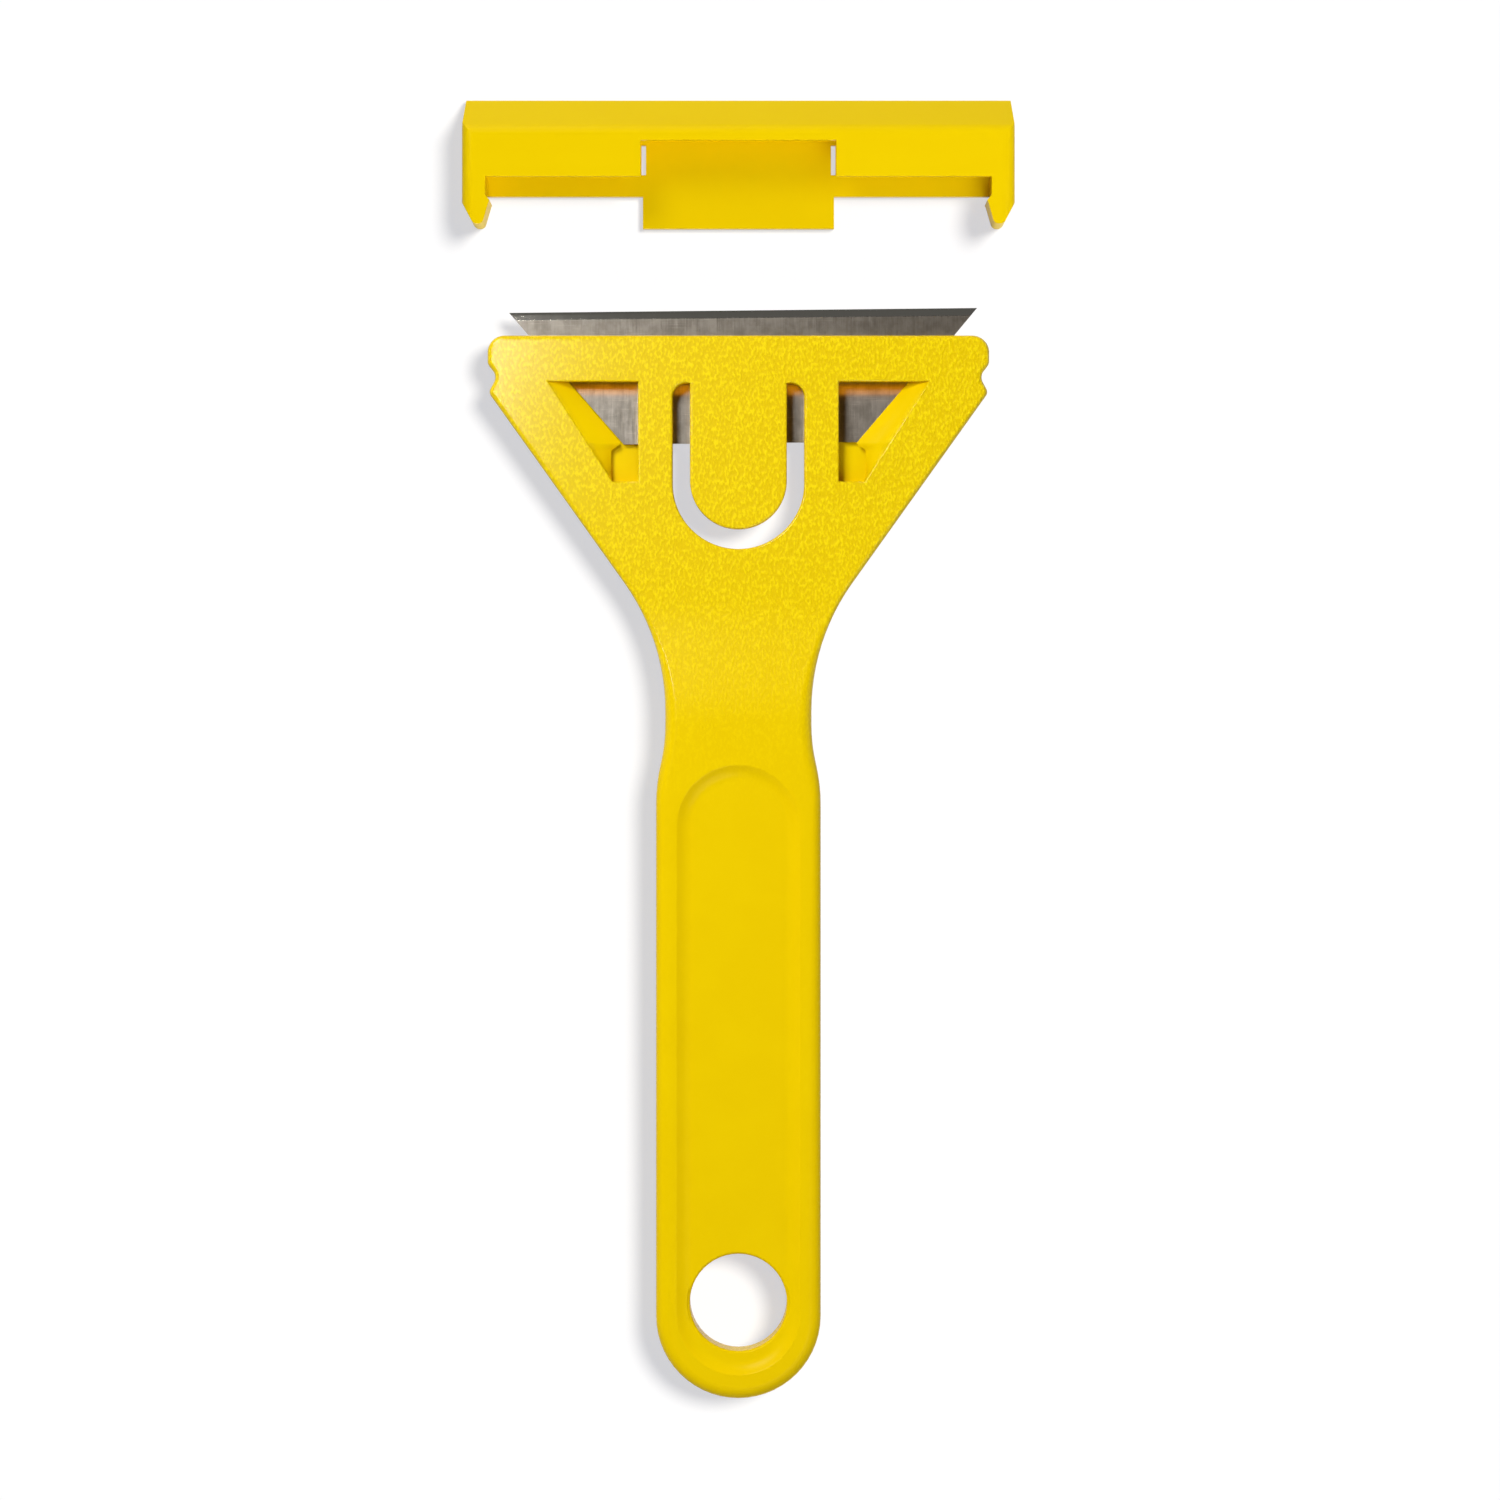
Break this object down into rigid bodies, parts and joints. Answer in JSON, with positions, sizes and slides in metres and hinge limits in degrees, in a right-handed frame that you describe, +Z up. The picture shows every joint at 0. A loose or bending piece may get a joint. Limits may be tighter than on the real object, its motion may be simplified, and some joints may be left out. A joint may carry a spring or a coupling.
{
  "type": "glass scraper",
  "caption": "Flat plastic scraper for glass with a trapezoid blade held under a clamping tongue, a slim handle with a hanging hole, and a blade cap that clips on.",
  "frame": {"origin": "middle of the whole object's footprint, on the surface that it lies on", "axes": "+Z up out of that surface, +Y along the handle towards the blade and the cap, +X across to the right"},
  "size_m": [0.0718, 0.1692, 0.0071],
  "materials": {
    "yellow_plastic": "fine moulded grain on the head, satin on the handle",
    "yellow_cap_plastic": "smooth satin",
    "blade_steel": "brushed, with a ground and honed edge"
  },
  "bodies": {
    "scraper": {"scraper_body": "yellow_plastic"},
    "tongue": {"clamp_tongue": "yellow_plastic"},
    "blade": {"blade": "blade_steel"},
    "cap": {"safety_cap": "yellow_cap_plastic", "cap_clip_left": "yellow_cap_plastic", "cap_clip_right": "yellow_cap_plastic"}
  },
  "joints": [
    {"name": "tongue_flex", "type": "hinge", "parent": "scraper", "child": "tongue", "pos_m": [0, 0.04715, 0.0048], "axis": [-1, 0, 0], "range_deg": [0, 8], "stiffness_Nm_per_rad": 0.6},
    {"name": "blade_slide", "type": "slide", "parent": "scraper", "child": "blade", "axis": [0, 1, 0], "range_m": [0, 0.0145]},
    {"name": "cap_slide", "type": "slide", "parent": "blade", "child": "cap", "axis": [0, -1, 0], "range_m": [0, 0.0227], "deforming": ["cap_clip_left", "cap_clip_right"]}
  ]
}
